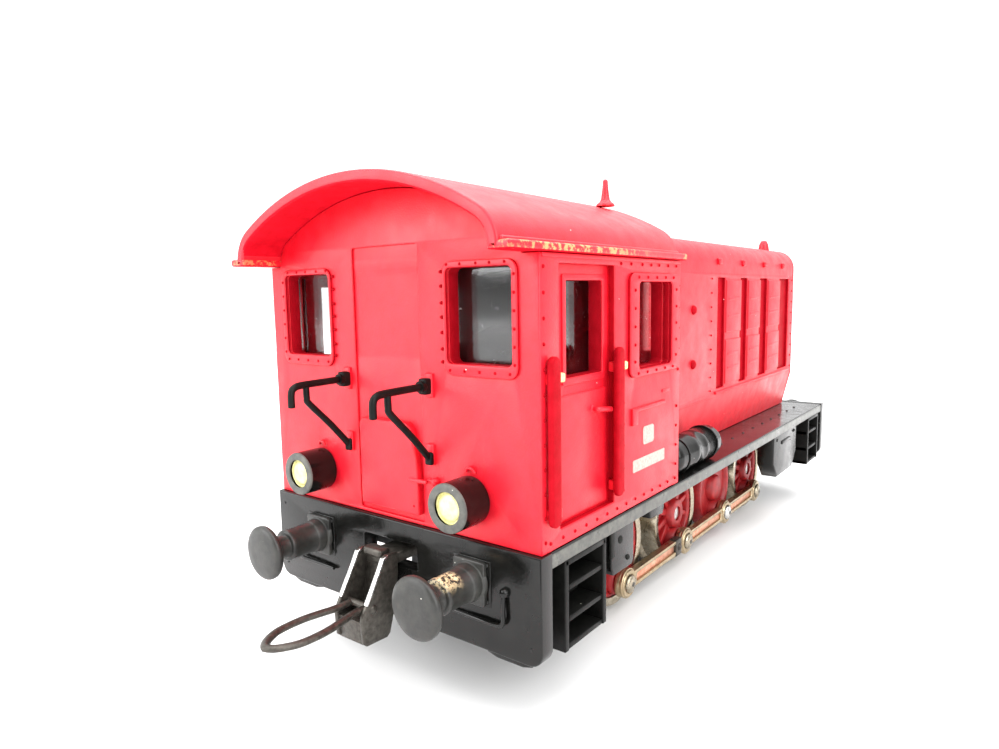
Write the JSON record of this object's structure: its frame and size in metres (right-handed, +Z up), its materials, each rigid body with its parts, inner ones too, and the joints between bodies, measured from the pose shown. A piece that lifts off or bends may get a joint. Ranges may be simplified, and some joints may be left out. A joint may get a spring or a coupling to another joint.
{
  "type": "model diesel locomotive",
  "caption": "H0 scale side-rod diesel shunting locomotive with an arched-roof cab at one end, a long bonnet, coupled wheels and loop couplers.",
  "frame": {"origin": "under the middle of the locomotive, on the surface that the wheel flanges stand on", "axes": "+X along the locomotive to the bonnet end, +Y to its left side, +Z up"},
  "size_m": [0.1192, 0.0356, 0.0489],
  "materials": {
    "red_plastic": "satin bright red moulded plastic",
    "wheel_red_plastic": "signal red moulded wheel centre",
    "black_plastic": "satin black moulded plastic",
    "blackened_steel": "chemically blackened sheet steel and wire",
    "bright_steel": "plated turned steel",
    "nickel_silver_rod": "stamped nickel silver",
    "brass": "bare brass and bronze",
    "zinc_casting": "zinc die casting, dull",
    "clear_plastic": "clear moulded glazing",
    "lamp_lens": "clear yellowish light guide",
    "circuit_board": "green glass-fibre board",
    "white_plastic": "white gear plastic"
  },
  "bodies": {
    "chassis": {"air_tank_left": "black_plastic", "air_tank_right": "black_plastic", "body_screw": "bright_steel", "buffer_front_left": "black_plastic", "buffer_front_right": "black_plastic", "buffer_rear_left": "black_plastic", "buffer_rear_right": "black_plastic", "bulb_front": "lamp_lens", "bulb_rear": "lamp_lens", "cab_roof": "red_plastic", "cab_shell": "red_plastic", "chassis_block": "zinc_casting", "circuit_board": "circuit_board", "coupler_screw_front": "bright_steel", "coupler_screw_rear": "bright_steel", "frame_deck": "black_plastic", "glazing_left": "clear_plastic", "glazing_rear": "clear_plastic", "glazing_right": "clear_plastic", "hood_shell": "red_plastic", "horn": "red_plastic", "keeper_plate": "black_plastic", "keeper_screw": "bright_steel", "lamp_front_left": "black_plastic", "lamp_front_right": "black_plastic", "lamp_rear_left": "black_plastic", "lamp_rear_right": "black_plastic", "light_guide_front": "lamp_lens", "light_guide_rear": "lamp_lens", "motor_brush_cap": "black_plastic", "motor_housing": "bright_steel", "pickup_left": "brass", "pickup_right": "brass", "rail_bracket_left": "black_plastic", "rail_bracket_right": "black_plastic", "step_front_left": "black_plastic", "step_front_right": "black_plastic", "step_rear_left": "black_plastic", "step_rear_right": "black_plastic"},
    "rear_wheelset": {"axle_rear": "bright_steel", "wheel_rear_left": "wheel_red_plastic", "wheel_rear_right": "wheel_red_plastic"},
    "middle_wheelset": {"axle_middle": "bright_steel", "drive_gear": "brass", "wheel_middle_left": "wheel_red_plastic", "wheel_middle_right": "wheel_red_plastic"},
    "front_wheelset": {"axle_front": "bright_steel", "wheel_front_left": "wheel_red_plastic", "wheel_front_right": "wheel_red_plastic"},
    "jackshaft": {"jackshaft": "wheel_red_plastic"},
    "rod_right": {"side_rod_right": "nickel_silver_rod"},
    "rod_left": {"side_rod_left": "nickel_silver_rod"},
    "idler": {"idler_gear": "white_plastic"},
    "worm_wheel": {"worm_wheel": "white_plastic"},
    "armature": {"motor_armature": "brass"},
    "rear_coupler": {"coupler_rear": "blackened_steel"},
    "front_coupler": {"coupler_front": "blackened_steel"},
    "rear_bail": {"coupler_bail_rear": "blackened_steel"},
    "front_bail": {"coupler_bail_front": "blackened_steel"}
  },
  "joints": [
    {"name": "middle_axle_turn", "type": "hinge", "parent": "chassis", "child": "middle_wheelset", "pos_m": [-0.0033, 0, 0.0072], "axis": [0, 1, 0], "continuous": true},
    {"name": "rear_axle_turn", "type": "hinge", "parent": "chassis", "child": "rear_wheelset", "pos_m": [-0.02, 0, 0.0072], "axis": [0, 1, 0], "continuous": true},
    {"name": "front_axle_turn", "type": "hinge", "parent": "chassis", "child": "front_wheelset", "pos_m": [0.0254, 0, 0.0072], "axis": [0, 1, 0], "continuous": true},
    {"name": "jackshaft_turn", "type": "hinge", "parent": "chassis", "child": "jackshaft", "pos_m": [0.0116, 0, 0.0072], "axis": [0, 1, 0], "continuous": true},
    {"name": "idler_turn", "type": "hinge", "parent": "chassis", "child": "idler", "pos_m": [-0.00362, 0, 0.01439], "axis": [0, 1, 0], "continuous": true},
    {"name": "worm_wheel_turn", "type": "hinge", "parent": "chassis", "child": "worm_wheel", "pos_m": [-0.006, 0, 0.0199], "axis": [0, 1, 0], "continuous": true},
    {"name": "armature_turn", "type": "hinge", "parent": "chassis", "child": "armature", "pos_m": [0, 0, 0.0255], "axis": [1, 0, 0], "continuous": true},
    {"name": "rod_right_orbit", "type": "hinge", "parent": "middle_wheelset", "child": "rod_right", "pos_m": [-0.0033, -0.0112, 0.0037], "axis": [0, 1, 0], "continuous": true},
    {"name": "rod_left_orbit", "type": "hinge", "parent": "middle_wheelset", "child": "rod_left", "pos_m": [0.0002, 0.0112, 0.0072], "axis": [0, 1, 0], "continuous": true},
    {"name": "rear_coupler_swing", "type": "hinge", "parent": "chassis", "child": "rear_coupler", "pos_m": [-0.04, 0, 0.0128], "axis": [0, 0, 1], "range_deg": [-12, 12]},
    {"name": "front_coupler_swing", "type": "hinge", "parent": "chassis", "child": "front_coupler", "pos_m": [0.04, 0, 0.0128], "axis": [0, 0, 1], "range_deg": [-12, 12]},
    {"name": "rear_bail_lift", "type": "hinge", "parent": "rear_coupler", "child": "rear_bail", "pos_m": [-0.0496, 0, 0.0093], "axis": [0, 1, 0], "range_deg": [0, 50]},
    {"name": "front_bail_lift", "type": "hinge", "parent": "front_coupler", "child": "front_bail", "pos_m": [0.0496, 0, 0.0093], "axis": [0, -1, 0], "range_deg": [0, 50]}
  ],
  "couplings": [
    {"joint": "rear_axle_turn", "follows": "middle_axle_turn", "ratio": 1},
    {"joint": "front_axle_turn", "follows": "middle_axle_turn", "ratio": 1},
    {"joint": "jackshaft_turn", "follows": "middle_axle_turn", "ratio": 1},
    {"joint": "idler_turn", "follows": "middle_axle_turn", "ratio": -1},
    {"joint": "worm_wheel_turn", "follows": "middle_axle_turn", "ratio": 1.5},
    {"joint": "armature_turn", "follows": "middle_axle_turn", "ratio": 30},
    {"joint": "rod_right_orbit", "follows": "middle_axle_turn", "ratio": -1},
    {"joint": "rod_left_orbit", "follows": "middle_axle_turn", "ratio": -1}
  ]
}
